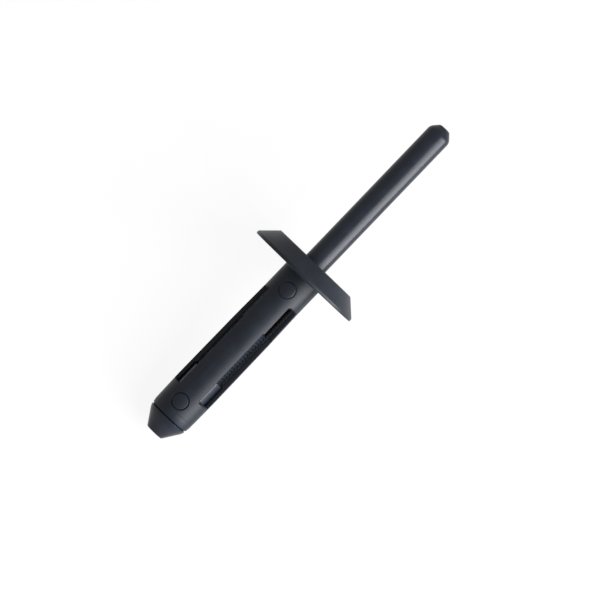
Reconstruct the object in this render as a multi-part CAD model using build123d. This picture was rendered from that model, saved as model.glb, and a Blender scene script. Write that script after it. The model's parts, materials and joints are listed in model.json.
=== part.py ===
from build123d import *

import math
import os

# A plastic pull rivet of two moulded pieces, lying as it comes to rest on a flat surface.
# The sleeve is a flange with three long legs under it, which a ring joins again at the nose end.
# The mandrel runs through it: pulling its stem draws the nose up, and the legs bow out and clamp.
#
# Each piece is drawn along the local X axis. x = 0 is the seat face, the underside of the flange:
# the nose lies at negative x and the pull stem at positive x. All sizes are in millimetres.

# How it lies
rest_roll = -10.0            # degrees about its own axis, from a leg whose middle faces up

# Flange
flange_radius = 8.95
flange_thickness = 2.6
rim_band = 0.45              # straight edge of the rim, below the cone
cone_angle = 45.0            # degrees, between the cone and the seat face
crown_round = 0.3            # edge between the cone and the flat top
seat_chamfer = 0.2           # filled corner between the seat face and the shank

# Sleeve below the flange
sleeve_length = 26.9
shank_radius = 3.075         # plain ring that fills the hole
shank_length = 4.4
shank_wall = 0.615
leg_rise = 0.12              # how far the legs stand out past the shank at the end of their first rise
leg_rise_length = 6.0        # along the axis, from the shank
leg_swell = 0.175            # how far they stand out past it at their widest
leg_widest_above_end = 5.4   # above the nose end
end_swell = 0.105            # how far the nose end stands out past the shank
end_bevel = 0.12
end_bevel_length = 0.7
end_ring_length = 4.5        # plain ring that joins the legs again at the nose end

# Slots between the legs
leg_count = 3
slot_width = 2.5
slot_neck_width = 2.12       # narrower stretch next to the shank
slot_neck_length = 5.0
slot_corner = 0.15

# Bore of the sleeve
collar_bore_step = 0.24      # the bore is this much wider at the nose end
lip_thickness = 1.4          # lip under the flat top, which the teeth catch on
lip_lead_angle = 45.0

# Mandrel
stem_radius = 1.83
stem_length = 26.0           # beyond the flange
stem_bevel = 1.0             # at 45 degrees
stem_relief = 0.2            # the stem is this much slimmer inside the sleeve
stem_relief_end = 0.1        # beyond the flange's flat top
break_neck_depth = 0.35      # where the stem tears off once the rivet is set
break_neck_length = 0.6
tooth_count = 18
tooth_pitch = 0.528
tooth_depth = 0.32
tooth_back = 0.08            # run of the steep side, which faces the nose
collar_length = 8.0          # plain stretch that guides the mandrel in the sleeve's nose end
nose_inset = 0.12            # the nose's base is this much smaller than the sleeve's end
nose_length = 2.75
nose_shoulder = 0.45         # gentle stretch next to the base
nose_shoulder_slope = 20.0   # degrees from the axis
nose_knee_round = 2.5        # between the shoulder and the tapered end
nose_tip_radius = 1.34
nose_seat = 0.08             # width of the ring that bears on the sleeve's end
nose_groove = 0.25           # relief between the nose and the sleeve's end

# Fits, radial unless the name says otherwise
stem_clearance = 0.1         # where the full stem passes the lip as the rivet is put together
tooth_clearance = 0.21
collar_clearance = 0.1
collar_end_clearance = 0.1   # along the axis

# Sizes that follow
bore_radius = shank_radius - shank_wall
collar_bore_radius = bore_radius + collar_bore_step
sleeve_end_radius = shank_radius + end_swell
leg_radius = shank_radius + leg_swell
leg_widest_at = -sleeve_length + leg_widest_above_end
lip_radius = stem_radius + stem_clearance
collar_radius = collar_bore_radius - collar_clearance
collar_end = -sleeve_length + collar_length
nose_radius = sleeve_end_radius - nose_inset
nose_base = -sleeve_length - nose_groove


def face_of(corners):
    """Flat face in the XY plane, from a closed list of ((x, y), rounding radius)."""
    points = [point for point, _ in corners]
    radii = [radius for _, radius in corners]
    return make_face(FilletPolyline(*points, radius=radii, close=True))


def turned(corners):
    """Solid of revolution about the X axis. Each corner's y is its radius."""
    return revolve(face_of(corners), Axis.X, 360)


def pushed_out(outline):
    """The outline as a prism from the axis out through the wall, towards positive z."""
    return extrude(outline, amount=2 * leg_radius, dir=(0, 0, 1))


def sleeve_blank():
    """The flange, shank and legs as one turned piece with its stepped bore, before the slots."""
    cone_drop = flange_thickness - rim_band
    crown_radius = flange_radius - cone_drop / math.tan(math.radians(cone_angle))
    lip_start = flange_thickness - lip_thickness
    lead_start = lip_start - (bore_radius - lip_radius) / math.tan(math.radians(lip_lead_angle))
    bore_step = collar_end + collar_end_clearance
    return turned([
        ((flange_thickness, lip_radius), 0),
        ((flange_thickness, crown_radius), crown_round),
        ((rim_band, flange_radius), 0),
        ((0, flange_radius), 0),
        ((0, shank_radius + seat_chamfer), 0),
        ((-seat_chamfer, shank_radius), 0),
        ((-shank_length, shank_radius), 0),
        ((-shank_length - leg_rise_length, shank_radius + leg_rise), 0),
        ((leg_widest_at, leg_radius), 0),
        ((-sleeve_length + end_bevel_length, sleeve_end_radius), 0),
        ((-sleeve_length, sleeve_end_radius - end_bevel), 0),
        ((-sleeve_length, collar_bore_radius), 0),
        ((bore_step, collar_bore_radius), 0),
        ((bore_step, bore_radius), 0),
        ((lead_start, bore_radius), 0),
        ((lip_start, lip_radius), 0),
    ])


def slot_cutter():
    """One slot, through the wall on the side where z is positive."""
    start = -shank_length
    step = start - slot_neck_length
    end = -sleeve_length + end_ring_length
    half_neck = slot_neck_width / 2
    half_width = slot_width / 2
    return pushed_out(face_of([
        ((start, -half_neck), slot_corner),
        ((start, half_neck), slot_corner),
        ((step, half_neck), 0),
        ((step, half_width), 0),
        ((end, half_width), slot_corner),
        ((end, -half_width), slot_corner),
        ((step, -half_width), 0),
        ((step, -half_neck), 0),
    ]))


def make_sleeve():
    """The flanged sleeve, with a slot between each leg and the next."""
    cutters = []
    for slot in range(leg_count):
        slot_angle = 360 * (slot + 0.5) / leg_count
        cutters.append(Rot(X=slot_angle) * slot_cutter())
    return sleeve_blank() - cutters


def tooth_corners():
    """Outline of the ratchet teeth, steep towards the nose and sloping towards the stem."""
    tip_radius = bore_radius - tooth_clearance
    root_radius = tip_radius - tooth_depth
    corners = []
    for tooth in range(tooth_count):
        x = collar_end + tooth * tooth_pitch
        corners.append(((x, root_radius), 0))
        corners.append(((x + tooth_back, tip_radius), 0))
    return corners


def make_mandrel():
    """Nose, collar, ratchet teeth, break neck and pull stem, turned as one piece."""
    neck_start = collar_end + tooth_count * tooth_pitch
    slim_radius = stem_radius - stem_relief
    neck_radius = slim_radius - break_neck_depth
    full_stem_start = flange_thickness + stem_relief_end
    groove_radius = collar_bore_radius + nose_seat
    stem_end = flange_thickness + stem_length
    nose_tip = nose_base - nose_length
    knee_drop = nose_shoulder * math.tan(math.radians(nose_shoulder_slope))
    return turned([
        ((nose_tip, 0), 0),
        ((nose_tip, nose_tip_radius), 0),
        ((nose_base - nose_shoulder, nose_radius - knee_drop), nose_knee_round),
        ((nose_base, nose_radius), 0),
        ((nose_base, groove_radius), 0),
        ((-sleeve_length, groove_radius), 0),
        ((-sleeve_length, collar_radius), 0),
        ((collar_end, collar_radius), 0),
        *tooth_corners(),
        ((neck_start, slim_radius), 0),
        ((neck_start + break_neck_length / 2, neck_radius), 0),
        ((neck_start + break_neck_length, slim_radius), 0),
        ((full_stem_start, slim_radius), 0),
        ((full_stem_start, stem_radius), 0),
        ((stem_end - stem_bevel, stem_radius), 0),
        ((stem_end, stem_radius - stem_bevel), 0),
        ((stem_end, 0), 0),
    ])


def rest_tilt():
    """Slope of the axis, in degrees, when the flange's rim and the nose end both touch the surface."""
    touching = [
        (-nose_base, nose_radius),
        (sleeve_length - end_bevel_length, sleeve_end_radius),
        (-leg_widest_at, leg_radius),
    ]
    return math.degrees(min(math.atan2(flange_radius - radius, depth) for depth, radius in touching))


def lay_down(pieces):
    """Roll and tilt the pieces into their rest and put the middle of their base at the origin."""
    tilted = [Rot(Y=-rest_tilt()) * Rot(X=rest_roll) * piece for piece in pieces]
    box = Compound(tilted).bounding_box()
    return [Pos(-box.center().X, -box.center().Y, -box.min.Z) * piece for piece in tilted]


sleeve, mandrel = lay_down([make_sleeve(), make_mandrel()])

os.makedirs("parts", exist_ok=True)
export_step(sleeve, "parts/sleeve.step")
export_step(mandrel, "parts/mandrel.step")
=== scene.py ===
"""A black plastic pull rivet of two moulded pieces, lying on a pale floor in soft studio light."""

import json
import logging
import math
from dataclasses import dataclass
from enum import Enum

import bpy
import numpy as np
from mathutils import Matrix, Vector


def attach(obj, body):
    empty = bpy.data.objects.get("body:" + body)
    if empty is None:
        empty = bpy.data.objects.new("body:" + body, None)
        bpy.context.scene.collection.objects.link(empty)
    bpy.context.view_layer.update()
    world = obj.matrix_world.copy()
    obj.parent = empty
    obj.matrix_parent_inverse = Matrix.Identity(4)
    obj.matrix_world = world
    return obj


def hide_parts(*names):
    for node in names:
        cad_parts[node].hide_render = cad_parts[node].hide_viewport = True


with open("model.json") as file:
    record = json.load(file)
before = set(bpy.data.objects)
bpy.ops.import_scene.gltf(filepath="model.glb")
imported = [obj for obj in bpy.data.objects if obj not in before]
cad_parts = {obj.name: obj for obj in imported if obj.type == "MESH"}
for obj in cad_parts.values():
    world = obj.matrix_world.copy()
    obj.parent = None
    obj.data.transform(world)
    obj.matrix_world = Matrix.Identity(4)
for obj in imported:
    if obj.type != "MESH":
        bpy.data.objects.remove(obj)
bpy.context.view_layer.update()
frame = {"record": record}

log = logging.getLogger("pull_rivet")

MM = 0.001
ROLL = -10.0  # degrees about the rivet's own axis, from a leg whose middle faces up
WHITE = (1.0, 1.0, 1.0, 1.0)
NOISE_MEAN = 0.5


class Slot(Enum):
    """The record's material slots, one for each moulded piece."""

    SLEEVE = "sleeve_plastic"
    MANDREL = "mandrel_plastic"


# ---------------------------------------------------------------- outlines and surfaces


@dataclass(frozen=True)
class Corner:
    """A corner of a turned piece's outline, in mm: its place on the axis, radius and rounding."""

    x: float
    r: float
    rounding: float = 0.0


@dataclass(frozen=True)
class Outline:
    """The half section of a turned piece, as straight runs with rounded corners.

    An arc touches both runs at rounding * tan(turn / 2) from its corner. Its points are the first
    touching point, turned about the arc's centre in equal steps. One more point on each run, close
    to the arc, keeps the shading of the straight run flat. It lies at a share of the rounding from
    the arc, or at a share of the straight run where that is shorter. The ends have no rounding.
    """

    corners: tuple[Corner, ...]
    steps: int = 4
    share_of_rounding: float = 0.5
    share_of_run: float = 0.3

    def points(self) -> np.ndarray:
        """Work out the rounded outline.

        Returns:
            An array of (place on the axis, radius) rows, in mm.
        """
        places = np.array([(c.x, c.r) for c in self.corners])
        rounding = np.array([c.rounding for c in self.corners])
        before = places - np.roll(places, 1, axis=0)
        length = np.linalg.norm(before, axis=1)
        way_in = before / length[:, None]
        way_out = np.roll(way_in, -1, axis=0)
        cross = way_in[:, 0] * way_out[:, 1] - way_in[:, 1] * way_out[:, 0]
        turn = np.arctan2(cross, (way_in * way_out).sum(axis=1))
        touch = rounding * np.tan(np.abs(turn) / 2)
        run_in = length - touch - np.roll(touch, 1)
        shorter = np.minimum(run_in, np.roll(run_in, -1))
        ease = np.minimum(self.share_of_rounding * rounding, self.share_of_run * shorter)
        found = []
        for k in range(len(places)):
            if rounding[k] == 0.0:
                found.append(places[k][None])
                continue
            sideways = np.sign(turn[k]) * np.array([-way_in[k, 1], way_in[k, 0]])
            start = places[k] - way_in[k] * touch[k]
            centre = start + sideways * rounding[k]
            angle = turn[k] * np.linspace(0.0, 1.0, self.steps + 1)[:, None]
            spoke = start - centre
            across = np.array([-spoke[1], spoke[0]])
            arc = centre + np.cos(angle) * spoke + np.sin(angle) * across
            found.append((start - way_in[k] * ease[k])[None])
            found.append(arc)
            found.append((arc[-1] + way_out[k] * ease[k])[None])
        return np.concatenate(found)


def smooth_rise(t: np.ndarray) -> np.ndarray:
    """Rise from 0 to 1 with level ends: 3 t^2 - 2 t^3, for t held between 0 and 1."""
    t = np.clip(t, 0.0, 1.0)
    return t * t * (3.0 - 2.0 * t)


def spread(low: float, high: float, spacing: float) -> np.ndarray:
    """Equally spaced places from low to high, both among them, about the given spacing apart."""
    return np.linspace(low, high, max(2, round(abs(high - low) / spacing) + 1))


def bands(rows: np.ndarray) -> np.ndarray:
    """Quads between neighbouring rows of a grid of vertex numbers, whose columns run round a ring.

    Args:
        rows: Vertex numbers, one row for each ring.

    Returns:
        An array of four vertex numbers for each quad, shaped (rows - 1, columns, 4).
    """
    here, beyond = rows[:-1], rows[1:]
    return np.stack(
        [here, np.roll(here, -1, axis=1), np.roll(beyond, -1, axis=1), beyond], axis=-1
    )


@dataclass(frozen=True)
class Lay:
    """Where the rivet lies. Its own x runs along the axis to the stem, from the seat face.

    Its own z goes from the axis through the middle of the uppermost leg.
    """

    centre: Vector
    along: Vector
    across: Vector
    outward: Vector

    @classmethod
    def from_record(cls, record: dict, roll: float) -> "Lay":
        """Read the axis and the seat face from the record's mounts.

        Args:
            record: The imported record.
            roll: Turn about the axis, in degrees, from a leg whose middle faces up.

        Returns:
            The rivet's own directions and the middle of its seat face.
        """
        mounts = {mount["name"]: mount for mount in record["mounts"]}
        along = Vector(mounts["pull_stem"]["axis"]).normalized()
        shank = Vector(mounts["shank"]["pos_m"])
        seat = Vector(mounts["flange_seat"]["pos_m"])
        centre = shank + along * (seat - shank).dot(along)
        level = Vector((0, 0, 1)).cross(along).normalized()
        turn = Matrix.Rotation(math.radians(roll), 3, along)
        return cls(centre, along, turn @ level, turn @ along.cross(level))

    def place(self, points: np.ndarray) -> np.ndarray:
        """Carry points from the rivet's own millimetres to the frame's metres."""
        basis = np.array([self.along, self.across, self.outward])
        return np.array(self.centre) + MM * points @ basis


def make_piece(name: str, points: np.ndarray, faces: list[np.ndarray]) -> bpy.types.Object:
    """Put a surface into a mesh object at the origin, with smooth shading.

    Vertices that no face uses are left out.

    Args:
        name: Name of the object and its mesh.
        points: Places of the vertices, in metres.
        faces: Arrays of vertex numbers, each array with one row for each face.

    Returns:
        The new object, linked to the scene.
    """
    used = np.unique(np.concatenate([block.ravel() for block in faces]))
    number = np.full(len(points), -1)
    number[used] = np.arange(len(used))
    listed = [face for block in faces for face in number[block].tolist()]
    mesh = bpy.data.meshes.new(name)
    mesh.from_pydata(points[used], [], listed)
    mesh.shade_smooth()
    mesh.validate()
    piece = bpy.data.objects.new(name, mesh)
    bpy.context.scene.collection.objects.link(piece)
    return piece


# ---------------------------------------------------------------- the sleeve


@dataclass(frozen=True)
class SlotShape:
    """A slot between two legs, drawn flat on (place on the axis, half width), in mm.

    A wall draft of 0 makes the slot's walls parallel, and one of 1 makes them point at the axis.
    Stations lie about a spacing apart, and two that agree to so many decimals count as one.
    """

    start: float = -4.4
    end: float = -22.4
    neck_end: float = -9.4
    half_neck: float = 1.12
    half_width: float = 1.31
    wall_draft: float = 1.0
    neck_ease: float = 0.2
    neck_steps: int = 6
    corner: float = 0.15
    corner_steps: int = 5
    spacing: float = 0.7
    decimals: int = 6

    def narrowed(self, radius: np.ndarray, outer: np.ndarray) -> np.ndarray:
        """Share of the outer width left at a radius: 1 - draft * (1 - radius / outer)."""
        return 1.0 - self.wall_draft * (1.0 - radius / outer)

    def half_at(self, x: np.ndarray) -> np.ndarray:
        """Half width away from the rounded corners, easing from the neck to the full width."""
        middle = (self.neck_end + self.neck_ease / 2 - x) / self.neck_ease
        return self.half_neck + (self.half_width - self.half_neck) * smooth_rise(middle)

    def side(self, steps: tuple[float, ...]) -> np.ndarray:
        """Outline of one side, from the middle of the end corner to that of the start corner.

        A corner is a quarter circle, centre + corner * (sin a, cos a), whose outward direction is
        (sin a, cos a). Between the corners the outward direction is sideways.

        Args:
            steps: Places on the axis where the bore changes, which get stations of their own.

        Returns:
            Rows of (place, half width, outward place, outward width).
        """
        angle = np.linspace(0.0, math.pi / 2, self.corner_steps + 1)
        x_end = self.end + self.corner
        x_start = self.start - self.corner
        ease = self.neck_end + self.neck_ease * np.linspace(-0.5, 0.5, self.neck_steps + 1)
        runs = [
            spread(x_end, self.neck_end - self.neck_ease / 2, self.spacing),
            ease,
            spread(self.neck_end + self.neck_ease / 2, x_start, self.spacing),
            np.array(steps),
        ]
        x = np.unique(np.concatenate(runs).round(self.decimals))[1:-1]
        straight = np.stack([x, self.half_at(x), np.zeros_like(x), np.ones_like(x)], axis=1)
        quarters = []
        for centre, half, swing in (
            (x_end, self.half_width, -angle[::-1]),
            (x_start, self.half_neck, angle),
        ):
            normal = np.stack([np.sin(swing), np.cos(swing)], axis=1)
            middle = np.array([centre, half - self.corner])
            quarters.append(np.concatenate([middle + self.corner * normal, normal], axis=1))
        return np.concatenate([quarters[0], straight, quarters[1]])


@dataclass(frozen=True)
class RingMark:
    """A shallow ring that a moulding pin leaves in the outside of a leg, in mm.

    The stations that draw it lie within its reach of its middle.
    """

    x: float
    radius: float = 1.2
    half_line: float = 0.12
    depth: float = 0.2
    reach: float = 1.42

    def depth_at(self, x: np.ndarray, y: np.ndarray) -> np.ndarray:
        """Depth of the groove: a raised cosine of the distance from the ring's own circle."""
        off_line = np.abs(np.hypot(x - self.x, y) - self.radius) / self.half_line
        return self.depth * 0.5 * (1.0 + np.cos(math.pi * np.clip(off_line, 0.0, 1.0)))

    def stations(self, spacing: float) -> np.ndarray:
        """Places on the axis, close enough together to draw the ring."""
        return spread(self.x - self.reach, self.x + self.reach, spacing)


@dataclass(frozen=True)
class Sleeve:
    """The flanged sleeve with three legs. Sizes are in mm, x = 0 on the seat face.

    A name that ends in round is the rounding of a corner, and edge is that of the slots' edges. A
    gap is the step along the axis from the last row of a slot or a ring mark to the next row, and
    shank_row is the place of a row between the upper ring mark and the flange.
    """

    legs: int = 3
    flange_radius: float = 8.95
    flange_thickness: float = 2.6
    rim_band: float = 0.45
    crown_radius: float = 6.7
    seat_round: float = 0.2
    seat_rim_round: float = 0.12
    rim_round: float = 0.09
    crown_round: float = 0.15
    lip_radius: float = 1.93
    lip_thickness: float = 1.4
    lip_round: float = 0.1
    lip_lead_round: float = 0.06
    shank_radius: float = 3.075
    shank_wall: float = 0.615
    shank_row: float = -0.9
    leg_rise: float = 0.12
    leg_rise_length: float = 6.0
    leg_swell: float = 0.175
    leg_widest: float = -21.5
    end_swell: float = 0.105
    length: float = 26.9
    end_bevel: float = 0.102
    end_bevel_length: float = 0.7
    end_bevel_round: float = 4.0
    end_chamfer: float = 0.16
    end_chamfer_length: float = 0.1
    end_chamfer_round: float = 0.06
    end_face_round: float = 0.02
    bore_end_round: float = 0.08
    bore_step: float = -18.8
    bore_step_run: float = 0.24
    bore_steps: int = 4
    edge: float = 0.05
    edge_steps: int = 4
    wall_steps: int = 4
    slot: SlotShape = SlotShape()
    slot_gap: float = 0.3
    marks: tuple[RingMark, ...] = (
        RingMark(x=-2.7, half_line=0.15, depth=0.1),
        RingMark(x=-24.1),
    )
    mark_spacing: float = 0.04
    mark_gap: float = 0.05
    leg_columns: int = 90
    slot_columns: int = 10

    @property
    def bore_radius(self) -> float:
        """Radius of the bore between the lip and the step."""
        return self.shank_radius - self.shank_wall

    @property
    def end_radius(self) -> float:
        """Outer radius at the nose end."""
        return self.shank_radius + self.end_swell

    def outer(self, x: np.ndarray) -> np.ndarray:
        """Outer radius: a plain ring, a first rise, the widest place, and down to the nose end.

        Args:
            x: Places on the axis, below the flange.

        Returns:
            The radius at each place, on straight runs between the named places.
        """
        depth = -np.array([
            self.slot.start,
            self.slot.start - self.leg_rise_length,
            self.leg_widest,
            -self.length + self.end_bevel_length,
        ])
        swell = np.array([0.0, self.leg_rise, self.leg_swell, self.end_swell])
        return self.shank_radius + np.interp(-x, depth, swell)

    def inner(self, x: np.ndarray) -> np.ndarray:
        """Radius of the bore, which widens by a short smooth step towards the nose end."""
        rise = smooth_rise((self.bore_step + self.bore_step_run / 2 - x) / self.bore_step_run)
        return self.bore_radius + self.bore_step_run * rise

    def front(self, x_slot: float) -> np.ndarray:
        """Outline from the slots' start, over the flange and back down the bore.

        Args:
            x_slot: Place on the axis where the rows that cross the slots start.

        Returns:
            Rows of (place, radius), from the first ring mark to the bore just above the slots.
        """
        ring = self.marks[0].stations(self.mark_spacing)
        lead = self.bore_radius - self.lip_radius
        lip_start = self.flange_thickness - self.lip_thickness
        flange = Outline((
            Corner(self.shank_row, self.shank_radius),
            Corner(0.0, self.shank_radius, self.seat_round),
            Corner(0.0, self.flange_radius, self.seat_rim_round),
            Corner(self.rim_band, self.flange_radius, self.rim_round),
            Corner(self.flange_thickness, self.crown_radius, self.crown_round),
            Corner(self.flange_thickness, self.lip_radius, self.lip_round),
            Corner(lip_start, self.lip_radius, self.lip_lead_round),
            Corner(lip_start - lead, self.bore_radius, self.lip_round),
            Corner(x_slot + self.slot_gap, self.bore_radius),
        )).points()
        shank = np.stack([ring, np.full_like(ring, self.shank_radius)], axis=1)
        return np.concatenate([shank, flange])

    def tail(self, x_slot: float) -> np.ndarray:
        """Outline from the slots' end, down the bore, round the nose end and back outside.

        Args:
            x_slot: Place on the axis where the rows that cross the slots end.

        Returns:
            Rows of (place, radius), from the bore just below the slots to the second ring mark.
        """
        ring = self.marks[1].stations(self.mark_spacing)
        wide_bore = float(self.inner(np.array(-self.length)))
        end_rim = self.end_radius - self.end_bevel
        bevel = -self.length + self.end_bevel_length
        end = Outline((
            Corner(x_slot - self.slot_gap, wide_bore),
            Corner(-self.length, wide_bore, self.bore_end_round),
            Corner(-self.length, end_rim - self.end_chamfer, self.end_face_round),
            Corner(-self.length + self.end_chamfer_length, end_rim, self.end_chamfer_round),
            Corner(bevel, self.end_radius, self.end_bevel_round),
            Corner(ring[0] - self.mark_gap, self.end_radius),
        )).points()
        leg = np.stack([ring, self.outer(ring)], axis=1)
        return np.concatenate([end, leg])

    def angles(self, half_angle: np.ndarray) -> np.ndarray:
        """Angle of each column in each row, round the axis from a leg's middle.

        A slot's columns share out its half angle evenly on both sides of its middle, and a leg's
        columns share out what is left between its two slots.

        Args:
            half_angle: Half of the angle that a slot's columns span, for each row.

        Returns:
            An array of angles, shaped (rows, columns).
        """
        pitch = 2 * math.pi / self.legs
        slot_steps = np.linspace(-1.0, 1.0, self.slot_columns + 1)[:-1]
        leg_steps = np.linspace(0.0, 1.0, self.leg_columns + 1)[:-1]
        half = half_angle[:, None]
        over_slot = pitch / 2 + half * slot_steps
        over_leg = pitch / 2 + half + (pitch - 2 * half) * leg_steps
        unit = np.concatenate([over_slot, over_leg], axis=1)
        return np.concatenate([unit + pitch * k for k in range(self.legs)], axis=1)

    def surface(self) -> tuple[np.ndarray, list[np.ndarray]]:
        """Work out the whole sleeve as one closed surface.

        The outline, closed on itself, is carried round the axis: a point is (x, r cos a, r sin a),
        turned so that a leg's middle lies on z. Rows that cross the slots take their places from
        the slot's own outline. The grid's quads over each slot are left out, outside and inside,
        and rings of points that follow the slot's outline through the wall join the two holes.

        Returns:
            The points in mm and the arrays of faces.
        """
        over_step = np.linspace(-0.5, 0.5, self.bore_steps + 1)
        side = self.slot.side(tuple(self.bore_step + self.bore_step_run * over_step))
        x_side = side[:, 0] + self.edge * side[:, 2]
        half_side = side[:, 1] + self.edge * side[:, 3]
        outside = np.stack([x_side, self.outer(x_side)], axis=1)
        inside = np.stack([x_side, self.inner(x_side)], axis=1)[::-1]
        front = self.front(x_side[-1])
        tail = self.tail(x_side[0])
        outline = np.concatenate([outside, front, inside, tail])
        out_angle = np.arcsin(half_side / outside[:, 1])
        left_inside = self.slot.narrowed(inside[:, 1], outside[::-1, 1])
        in_angle = np.arcsin(left_inside * half_side[::-1] / inside[:, 1])
        half_angle = np.concatenate([
            out_angle,
            np.linspace(out_angle[-1], in_angle[0], len(front) + 2)[1:-1],
            in_angle,
            np.linspace(in_angle[-1], out_angle[0], len(tail) + 2)[1:-1],
        ])
        angle = self.angles(half_angle)
        x = np.repeat(outline[:, :1], angle.shape[1], axis=1)
        r = np.repeat(outline[:, 1:], angle.shape[1], axis=1)
        first_inner = len(outside) + len(front)
        last_ring = len(self.marks[1].stations(self.mark_spacing))
        outer_rows = np.ones(len(outline), bool)
        outer_rows[first_inner - 1 : -last_ring] = False
        r = self.pressed(x, r, angle, outer_rows)
        points = np.stack([x, r * np.sin(angle), r * np.cos(angle)], axis=-1).reshape(-1, 3)
        walls, faces = self.with_slots(
            np.arange(angle.size).reshape(angle.shape),
            slice(0, len(outside)),
            slice(first_inner, first_inner + len(inside)),
            side,
        )
        return np.concatenate([points, *walls]), faces

    def with_slots(
        self, grid: np.ndarray, outside: slice, inside: slice, side: np.ndarray
    ) -> tuple[list[np.ndarray], list[np.ndarray]]:
        """Leave the slots open in the grid, and wall each of them from the outside to the bore.

        Args:
            grid: Vertex numbers, one row for each point of the outline, which is closed on itself.
            outside: The outside's rows that cross the slots, towards the flange.
            inside: The bore's rows that cross them, away from the flange.
            side: A slot's side, from SlotShape.side.

        Returns:
            The points of each slot's walls in mm, and the arrays of faces, the grid's first.
        """
        quads = bands(np.concatenate([grid, grid[:1]]))
        kept = np.ones(quads.shape[:2], bool)
        points, faces = [], []
        count = grid.size
        for k in range(self.legs):
            left = k * (self.slot_columns + self.leg_columns)
            right = left + self.slot_columns
            for rows in (outside, inside):
                kept[rows.start : rows.stop - 1, left:right] = False
            rings = self.slot_rings(side, 2 * math.pi / self.legs * (k + 0.5))
            shape = rings.shape[:2]
            numbers = count + np.arange(math.prod(shape)).reshape(shape)
            count += numbers.size
            outer_edge = self.around(grid[outside], left, right)
            inner_edge = self.around(grid[inside][::-1], left, right)
            wall = np.concatenate([outer_edge[None], numbers, inner_edge[None]])
            points.append(rings.reshape(-1, 3))
            faces.append(np.concatenate(bands(wall)))
        return points, [quads[kept], *faces]

    def pressed(
        self, x: np.ndarray, r: np.ndarray, angle: np.ndarray, outer_rows: np.ndarray
    ) -> np.ndarray:
        """Press the ring marks into the outside of every leg.

        Args:
            x: Place of each grid point on the axis.
            r: Radius of each grid point.
            angle: Angle of each grid point round the axis.
            outer_rows: Which rows the marks may be pressed into.

        Returns:
            The new radius of each grid point.
        """
        pitch = 2 * math.pi / self.legs
        from_middle = (angle + pitch / 2) % pitch - pitch / 2
        sideways = r * np.sin(from_middle)
        depth = sum(mark.depth_at(x, sideways) for mark in self.marks)
        below_flange = (r < self.shank_radius + self.leg_swell + self.edge) & outer_rows[:, None]
        return r - np.where(below_flange, depth, 0.0)

    def around(self, rows: np.ndarray, left: int, right: int) -> np.ndarray:
        """Go round a slot's hole in a grid.

        Args:
            rows: Vertex numbers of the rows that cross the slots, towards the flange.
            left: The hole's first column.
            right: The hole's last column.

        Returns:
            The vertex numbers round the hole, in one row.
        """
        return np.concatenate([
            rows[:, left],
            rows[-1, left + 1 : right],
            rows[::-1, right],
            rows[0, left + 1 : right][::-1],
        ])

    def slot_rings(self, side: np.ndarray, middle: float) -> np.ndarray:
        """Rings of points that follow a slot's outline through the wall.

        A ring is the outline moved outwards by the edge's rounding * (1 - sin a), and sunk below
        the outside, or lifted from the bore, by the rounding * (1 - cos a), for a from 0 to 90
        degrees. Between the two rounded edges the wall is straight. On its way in, the outline's
        width shrinks as the slot's draft says, and a point turns from the slot's middle by the
        angle whose sine is its width over its radius.

        Args:
            side: The slot's side, from SlotShape.side.
            middle: Angle of the slot's middle round the axis.

        Returns:
            Points in mm, shaped (rings, points of a ring, 3).
        """
        across = np.linspace(-1.0, 1.0, self.slot_columns + 1)[1:-1]
        flat = np.zeros_like(across)
        start, end = side[-1], side[0]
        mirror = side * (1.0, -1.0, 1.0, -1.0)
        start_run = np.stack([flat + start[0], across * start[1], flat + 1.0, flat], axis=1)
        end_run = np.stack([flat + end[0], across * end[1], flat - 1.0, flat], axis=1)
        loop = np.concatenate([mirror, start_run, side[::-1], end_run[::-1]])
        turn = np.linspace(0.0, math.pi / 2, self.edge_steps + 1)[1:]
        widen = self.edge * (1.0 - np.sin(turn))
        sink = self.edge * (1.0 - np.cos(turn))
        straight = np.linspace(0.0, 1.0, self.wall_steps + 1)[1:-1]
        moved = np.concatenate([widen, np.zeros_like(straight), widen[::-1]])[:, None]
        x = loop[:, 0] + moved * loop[:, 2]
        y = loop[:, 1] + moved * loop[:, 3]
        outer, inner = self.outer(x), self.inner(x)
        share = np.concatenate([np.zeros_like(sink), straight, np.ones_like(sink)])[:, None]
        offset = np.concatenate([-sink, np.zeros_like(straight), sink[::-1]])[:, None]
        top, bottom = outer - self.edge, inner + self.edge
        wall = top + (bottom - top) * share
        below = np.where(share == 1.0, inner + offset, wall)
        radius = np.where(share == 0.0, outer + offset, below)
        turned = np.arcsin(self.slot.narrowed(radius, outer) * y / radius) + middle
        return np.stack([x, radius * np.sin(turned), radius * np.cos(turned)], axis=-1)

    def build(self, lay: Lay) -> bpy.types.Object:
        """Make the sleeve's object, which stands for the frame's sleeve.

        Args:
            lay: Where the rivet lies.

        Returns:
            The new object, which has no finish yet.
        """
        points, faces = self.surface()
        piece = make_piece("moulded_sleeve", lay.place(points), faces)
        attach(piece, "root")
        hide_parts("sleeve")
        return piece


# ---------------------------------------------------------------- the mandrel


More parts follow.
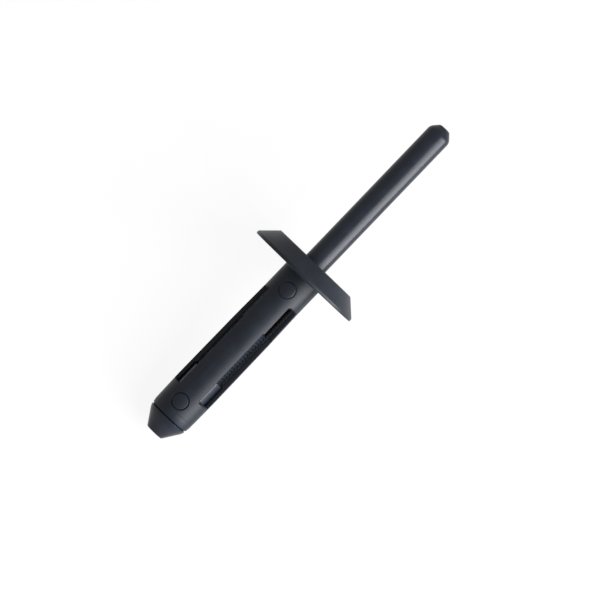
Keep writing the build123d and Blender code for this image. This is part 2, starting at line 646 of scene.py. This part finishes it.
@dataclass(frozen=True)
class Mandrel:
    """The mandrel: nose, collar, ratchet teeth, break neck and pull stem. Sizes are in mm.

    A name that ends in round is the rounding of a corner.
    """

    nose_tip: float = -29.9
    nose_tip_radius: float = 1.34
    nose_tip_round: float = 0.12
    nose_base: float = -26.94
    nose_base_round: float = 0.02
    nose_radius: float = 3.06
    nose_round: float = 0.04
    nose_shoulder: float = 0.45
    nose_shoulder_slope: float = 20.0
    nose_chamfer: float = 0.2
    nose_chamfer_length: float = 0.16
    nose_knee_round: float = 2.5
    collar_radius: float = 2.5
    collar_end: float = -18.9
    collar_round: float = 0.08
    teeth: int = 18
    tooth_pitch: float = 0.528
    tooth_back: float = 0.08
    tooth_tip: float = 2.25
    tooth_tip_round: float = 0.04
    tooth_root: float = 1.93
    tooth_root_round: float = 0.03
    neck_radius: float = 1.28
    neck_round: float = 0.1
    neck_length: float = 0.6
    neck_edge_round: float = 0.05
    slim_radius: float = 1.63
    stem_start: float = 2.3
    stem_root_round: float = 0.03
    stem_start_round: float = 0.05
    stem_radius: float = 1.83
    stem_end: float = 28.6
    stem_end_round: float = 0.5
    stem_bevel: float = 1.0
    stem_bevel_length: float = 1.1
    stem_bevel_round: float = 1.2
    columns: int = 144

    def outline(self) -> np.ndarray:
        """Draw the half section, from the middle of the nose's tip to that of the stem's end.

        Returns:
            Rows of (place on the axis, radius), in mm.
        """
        rim = self.nose_base - self.nose_chamfer_length
        shoulder = rim - self.nose_shoulder
        shoulder_drop = self.nose_shoulder * math.tan(math.radians(self.nose_shoulder_slope))
        corners = [
            Corner(self.nose_tip, 0.0),
            Corner(self.nose_tip, self.nose_tip_radius, self.nose_tip_round),
            Corner(shoulder, self.nose_radius - shoulder_drop, self.nose_knee_round),
            Corner(rim, self.nose_radius, self.nose_round),
            Corner(self.nose_base, self.nose_radius - self.nose_chamfer, self.nose_base_round),
            Corner(self.nose_base, self.collar_radius, self.nose_base_round),
            Corner(self.collar_end, self.collar_radius, self.collar_round),
        ]
        for tooth in range(self.teeth):
            x = self.collar_end + tooth * self.tooth_pitch
            corners.append(Corner(x, self.tooth_root, self.tooth_root_round))
            corners.append(Corner(x + self.tooth_back, self.tooth_tip, self.tooth_tip_round))
        neck = self.collar_end + self.teeth * self.tooth_pitch
        bevel = self.stem_end - self.stem_bevel_length
        corners += [
            Corner(neck, self.slim_radius, self.neck_edge_round),
            Corner(neck + self.neck_length / 2, self.neck_radius, self.neck_round),
            Corner(neck + self.neck_length, self.slim_radius, self.neck_edge_round),
            Corner(self.stem_start, self.slim_radius, self.stem_root_round),
            Corner(self.stem_start, self.stem_radius, self.stem_start_round),
            Corner(bevel, self.stem_radius, self.stem_bevel_round),
            Corner(self.stem_end, self.stem_radius - self.stem_bevel, self.stem_end_round),
            Corner(self.stem_end, 0.0),
        ]
        return Outline(tuple(corners)).points()

    def surface(self) -> tuple[np.ndarray, list[np.ndarray]]:
        """Carry the outline round the axis: (x, r cos a, r sin a), with one point at each pole.

        Returns:
            The points in mm and the arrays of faces.
        """
        outline = self.outline()
        angle = np.linspace(0.0, 2 * math.pi, self.columns, endpoint=False)
        x, r = outline[1:-1, :1], outline[1:-1, 1:]
        rings = np.stack([x + 0 * angle, r * np.sin(angle), r * np.cos(angle)], axis=-1)
        rows, columns = rings.shape[:2]
        grid = np.arange(rows * columns).reshape(rows, columns)
        poles = np.array([[outline[0, 0], 0.0, 0.0], [outline[-1, 0], 0.0, 0.0]])
        first, last = grid[0], grid[-1]
        nose = np.stack([np.full(columns, grid.size), np.roll(first, -1), first], axis=1)
        tip = np.stack([np.full(columns, grid.size + 1), last, np.roll(last, -1)], axis=1)
        points = np.concatenate([rings.reshape(-1, 3), poles])
        return points, [np.concatenate(bands(grid)), nose, tip]

    def build(self, lay: Lay) -> bpy.types.Object:
        """Make the mandrel's object, which stands for the frame's mandrel.

        Args:
            lay: Where the rivet lies.

        Returns:
            The new object, which has no finish yet.
        """
        points, faces = self.surface()
        piece = make_piece("pull_mandrel", lay.place(points), faces)
        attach(piece, "root")
        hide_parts("mandrel")
        return piece


# ---------------------------------------------------------------- finishes


class Graph:
    """The nodes of a material or a world, added one call at a time."""

    def __init__(self, owner: bpy.types.Material | bpy.types.World) -> None:
        """Clear the owner's nodes and keep its tree.

        Args:
            owner: The material or world whose nodes are added.
        """
        owner.use_nodes = True
        self.tree = owner.node_tree
        self.tree.nodes.clear()

    def add(
        self, kind: str, settings: dict[str, object], inputs: dict[str | int, object]
    ) -> bpy.types.Node:
        """Add a node, set its settings, and then its sockets' values or links.

        Args:
            kind: The node's type.
            settings: Properties of the node, such as an operation.
            inputs: A value, a socket or a Level for each input, by its name or number.

        Returns:
            The new node.
        """
        node = self.tree.nodes.new(kind)
        for key, value in settings.items():
            setattr(node, key, value)
        for key, value in inputs.items():
            socket = value.socket if isinstance(value, Level) else value
            if isinstance(socket, bpy.types.NodeSocket):
                self.tree.links.new(socket, node.inputs[key])
            else:
                node.inputs[key].default_value = socket
        return node


class Level:
    """A number that varies over a surface, as an output socket that arithmetic can be done on."""

    def __init__(self, graph: Graph, socket: bpy.types.NodeSocket) -> None:
        """Wrap an output socket of the graph."""
        self.graph = graph
        self.socket = socket

    def _math(self, operation: str, first: "Level | float", second: "Level | float") -> "Level":
        """Add a Math node that works on two numbers."""
        node = self.graph.add("ShaderNodeMath", {"operation": operation}, {0: first, 1: second})
        return Level(self.graph, node.outputs[0])

    def __add__(self, other: "Level | float") -> "Level":
        """This number plus another."""
        return self._math("ADD", self, other)

    def __radd__(self, other: float) -> "Level":
        """Another number plus this one."""
        return self._math("ADD", other, self)

    def __sub__(self, other: "Level | float") -> "Level":
        """This number less another."""
        return self._math("SUBTRACT", self, other)

    def __rsub__(self, other: float) -> "Level":
        """Another number less this one."""
        return self._math("SUBTRACT", other, self)

    def __mul__(self, other: "Level | float") -> "Level":
        """This number times another."""
        return self._math("MULTIPLY", self, other)

    def __rmul__(self, other: float) -> "Level":
        """Another number times this one."""
        return self._math("MULTIPLY", other, self)

    def between(self, low: float, high: float) -> "Level":
        """Rise smoothly from 0 to 1 between two bounds.

        Args:
            low: The bound that gives 0, and so does all below it.
            high: The bound that gives 1, and so does all above it.

        Returns:
            The new number.
        """
        node = self.graph.add(
            "ShaderNodeMapRange",
            {"interpolation_type": "SMOOTHSTEP", "clamp": True},
            {"Value": self, "From Min": low, "From Max": high},
        )
        return Level(self.graph, node.outputs[0])


@dataclass(frozen=True)
class BlackNylon:
    """Black moulded nylon: a fine grain, faint flow streaks along the axis and cloudy gloss.

    Sizes are in mm. The spreads are how far the clouds and streaks move the roughness at most, and
    the tints are their shares in the noise that picks a colour between dark and light.
    """

    name: str
    dark: tuple[float, float, float]
    light: tuple[float, float, float]
    roughness: float
    specular: float
    cloud_spread: float = 0.08
    cloud_size: float = 2.2
    cloud_detail: float = 2.0
    cloud_tint: float = 0.6
    streak_spread: float = 0.06
    streak_width: float = 0.5
    streak_length: float = 9.0
    streak_detail: float = 3.0
    streak_tint: float = 0.4
    grain_size: float = 0.09
    grain_depth: float = 0.003
    grain_detail: float = 2.0
    darkest_at: float = 0.35
    lightest_at: float = 0.65

    def noise(
        self, graph: Graph, place: bpy.types.NodeSocket, size: float, detail: float
    ) -> Level:
        """Add smooth noise.

        Args:
            graph: The material's nodes.
            place: The place that the noise is read at, in metres.
            size: About how far across its lumps are, in mm.
            detail: Octaves of finer noise.

        Returns:
            The noise, from 0 to 1.
        """
        node = graph.add(
            "ShaderNodeTexNoise", {}, {"Vector": place, "Scale": 1 / (size * MM), "Detail": detail}
        )
        return Level(graph, node.outputs["Fac"])

    def material(self, lay: Lay) -> bpy.types.Material:
        """Build the finish.

        Args:
            lay: Where the piece's axis lies, which the streaks follow.

        Returns:
            The new material.
        """
        plastic = bpy.data.materials.new(self.name)
        graph = Graph(plastic)
        place = graph.add("ShaderNodeTexCoord", {}, {}).outputs["Object"]
        slope = math.asin(lay.along.z)
        level = graph.add(
            "ShaderNodeMapping", {}, {"Vector": place, "Rotation": (0.0, slope, 0.0)}
        )
        squeeze = self.streak_width / self.streak_length
        drawn = graph.add(
            "ShaderNodeMapping",
            {},
            {"Vector": level.outputs["Vector"], "Scale": (squeeze, 1.0, 1.0)},
        )
        cloud = self.noise(graph, place, self.cloud_size, self.cloud_detail)
        along = drawn.outputs["Vector"]
        streak = self.noise(graph, along, self.streak_width, self.streak_detail)
        grain = self.noise(graph, place, self.grain_size, self.grain_detail)
        roughness = (
            (cloud - NOISE_MEAN) * (2 * self.cloud_spread)
            + (streak - NOISE_MEAN) * (2 * self.streak_spread)
            + self.roughness
        )
        mixed = self.cloud_tint * cloud + self.streak_tint * streak
        tint = mixed.between(self.darkest_at, self.lightest_at)
        colour = graph.add(
            "ShaderNodeMix",
            {"data_type": "RGBA"},
            {"Factor": tint, "A": (*self.dark, 1.0), "B": (*self.light, 1.0)},
        )
        bump = graph.add(
            "ShaderNodeBump",
            {},
            {"Height": grain, "Strength": 1.0, "Distance": self.grain_depth * MM},
        )
        shader = graph.add(
            "ShaderNodeBsdfPrincipled",
            {},
            {
                "Base Color": colour.outputs["Result"],
                "Roughness": roughness,
                "Specular IOR Level": self.specular,
                "Normal": bump.outputs["Normal"],
            },
        )
        graph.add("ShaderNodeOutputMaterial", {}, {"Surface": shader.outputs["BSDF"]})
        return plastic


SATIN_SLEEVE = BlackNylon(
    "satin_black_nylon",
    dark=(0.0075, 0.0100, 0.0150),
    light=(0.0110, 0.0140, 0.0210),
    roughness=0.42,
    specular=0.16,
)
SLEEK_MANDREL = BlackNylon(
    "sleek_black_nylon",
    dark=(0.008, 0.010, 0.017),
    light=(0.012, 0.015, 0.024),
    roughness=0.29,
    specular=0.2,
    cloud_spread=0.05,
    streak_spread=0.04,
    grain_depth=0.0015,
)


# ---------------------------------------------------------------- the studio


@dataclass(frozen=True)
class Panel:
    """A soft, flat lamp that faces the rivet, with its distance in metres.

    Angles are in degrees, as seen from the rivet. A bearing of 0 lies on the frame's -y side, and
    a greater one nearer the stem. The lamp fills its width, and the heights from low to high.
    """

    name: str
    bearing: float
    low: float
    high: float
    width: float
    radiance: float
    distance: float = 0.3

    def build(self, target: Vector) -> None:
        """Hang the lamp so that it fills its angles. A lamp's power is pi * area * radiance.

        Args:
            target: The place that the lamp faces, in metres.
        """
        bearing, lift = math.radians(self.bearing), math.radians((self.low + self.high) / 2)
        reach = math.cos(lift)
        out = Vector((math.sin(bearing) * reach, -math.cos(bearing) * reach, math.sin(lift)))
        lamp = bpy.data.lights.new(self.name, "AREA")
        lamp.shape = "RECTANGLE"
        lamp.size = 2 * self.distance * math.tan(math.radians(self.width / 2))
        lamp.size_y = 2 * self.distance * math.tan(math.radians((self.high - self.low) / 2))
        lamp.energy = math.pi * lamp.size * lamp.size_y * self.radiance
        holder = bpy.data.objects.new(self.name, lamp)
        holder.visible_camera = False
        holder.location = target + out * self.distance
        holder.rotation_euler = (-out).to_track_quat("-Z", "Y").to_euler()
        bpy.context.scene.collection.objects.link(holder)


@dataclass(frozen=True)
class Studio:
    """A pale floor, soft lamps at the rivet's side, and a dim surround. The floor is in metres."""

    floor_half: float = 1.5
    floor_white: float = 0.8
    floor_glow: float = 0.9
    surround: float = 0.35
    panels: tuple[Panel, ...] = (
        Panel("key_low", bearing=0.0, low=4.0, high=40.0, width=44.0, radiance=14.5),
        Panel("key_high", bearing=0.0, low=40.0, high=62.0, width=44.0, radiance=8.0),
    )

    def seen(self, graph: Graph) -> Level:
        """Tell what is seen from what only lights the object.

        Args:
            graph: The nodes of the floor or the world.

        Returns:
            1 for what the camera, a mirror or a glass sees, and 0 for the light on the object.
        """
        path = graph.add("ShaderNodeLightPath", {}, {})
        rays = [
            Level(graph, path.outputs[name])
            for name in ("Is Camera Ray", "Is Glossy Ray", "Is Transmission Ray")
        ]
        return rays[0] + rays[1] + rays[2]

    def floor(self) -> None:
        """Lay the floor that the rivet rests on, white but for a faint shadow of the rivet."""
        signs = np.array([(-1, -1, 0), (1, -1, 0), (1, 1, 0), (-1, 1, 0)])
        corners = self.floor_half * signs
        floor = make_piece("floor", corners, [np.array([[0, 1, 2, 3]])])
        pale = bpy.data.materials.new("pale_floor")
        graph = Graph(pale)
        white = (self.floor_white,) * 3 + (1.0,)
        matt = graph.add("ShaderNodeBsdfDiffuse", {}, {"Color": white})
        glow = graph.add("ShaderNodeEmission", {}, {"Color": WHITE, "Strength": 1.0})
        share = self.floor_glow * self.seen(graph)
        mixed = graph.add(
            "ShaderNodeMixShader",
            {},
            {0: share, 1: matt.outputs[0], 2: glow.outputs[0]},
        )
        graph.add("ShaderNodeOutputMaterial", {}, {"Surface": mixed.outputs[0]})
        floor.data.materials.append(pale)

    def sky(self) -> None:
        """Surround the scene: white where it is seen, and dim where it only lights the object."""
        world = bpy.data.worlds.new("surround")
        bpy.context.scene.world = world
        graph = Graph(world)
        strength = self.surround + (1.0 - self.surround) * self.seen(graph)
        white = graph.add("ShaderNodeBackground", {}, {"Color": WHITE, "Strength": strength})
        graph.add("ShaderNodeOutputWorld", {}, {"Surface": white.outputs[0]})

    def lamps(self, lay: Lay) -> None:
        """Hang the lamps round the middle of the rivet's seat."""
        for panel in self.panels:
            panel.build(Vector((lay.centre.x, 0.0, lay.centre.z)))


@dataclass(frozen=True)
class View:
    """The camera, above the rivet. Angles are in degrees, sizes in mm and clips in metres.

    The middle of the rivet's seat lies seat_right and seat_up of the middle of the view.
    """

    lens: float = 195.0
    sensor: float = 36.0
    frame_width: float = 83.5
    lean_to_stem: float = 1.0
    turn_from_leg: float = -6.5
    axis_slope: float = 46.2
    seat_right: float = 0.387
    seat_up: float = 3.183
    clip_start: float = 0.01
    clip_end: float = 10.0

    def build(self, lay: Lay) -> None:
        """Place the camera so that the axis slopes up to the right and the seat lies as given.

        The way to the camera leans from the leg's middle, and from there to the stem. The view's
        right and up directions are the axis as the camera sees it, turned by its slope.

        Args:
            lay: Where the rivet lies.
        """
        turn, lean = math.radians(self.turn_from_leg), math.radians(self.lean_to_stem)
        out = lay.outward * math.cos(turn) + lay.across * math.sin(turn)
        back = (out * math.cos(lean) + lay.along * math.sin(lean)).normalized()
        drawn = (lay.along - back * lay.along.dot(back)).normalized()
        beside = back.cross(drawn)
        slope = math.radians(self.axis_slope)
        right = drawn * math.cos(slope) - beside * math.sin(slope)
        above = drawn * math.sin(slope) + beside * math.cos(slope)
        target = lay.centre - MM * (self.seat_right * right + self.seat_up * above)
        camera_data = bpy.data.cameras.new("camera")
        camera_data.lens = self.lens
        camera_data.sensor_width = self.sensor
        camera_data.clip_start = self.clip_start
        camera_data.clip_end = self.clip_end
        camera = bpy.data.objects.new("camera", camera_data)
        distance = MM * self.frame_width * self.lens / self.sensor
        facing = Matrix((right, above, back)).transposed().to_4x4()
        camera.matrix_world = Matrix.Translation(target + back * distance) @ facing
        bpy.context.scene.collection.objects.link(camera)
        bpy.context.scene.camera = camera


def main() -> None:
    """Build the rivet's two pieces, dress them, and set up the studio."""
    logging.basicConfig(level=logging.INFO, format="%(message)s")
    bpy.context.scene.view_settings.view_transform = "Standard"
    lay = Lay.from_record(frame["record"], ROLL)
    View().build(lay)
    for maker, finish in ((Sleeve(), SATIN_SLEEVE), (Mandrel(), SLEEK_MANDREL)):
        piece = maker.build(lay)
        piece.data.materials.append(finish.material(lay))
        log.info("%s: %d faces, %s", piece.name, len(piece.data.polygons), finish.name)
    studio = Studio()
    studio.floor()
    studio.sky()
    studio.lamps(lay)


if __name__ == "__main__":
    main()
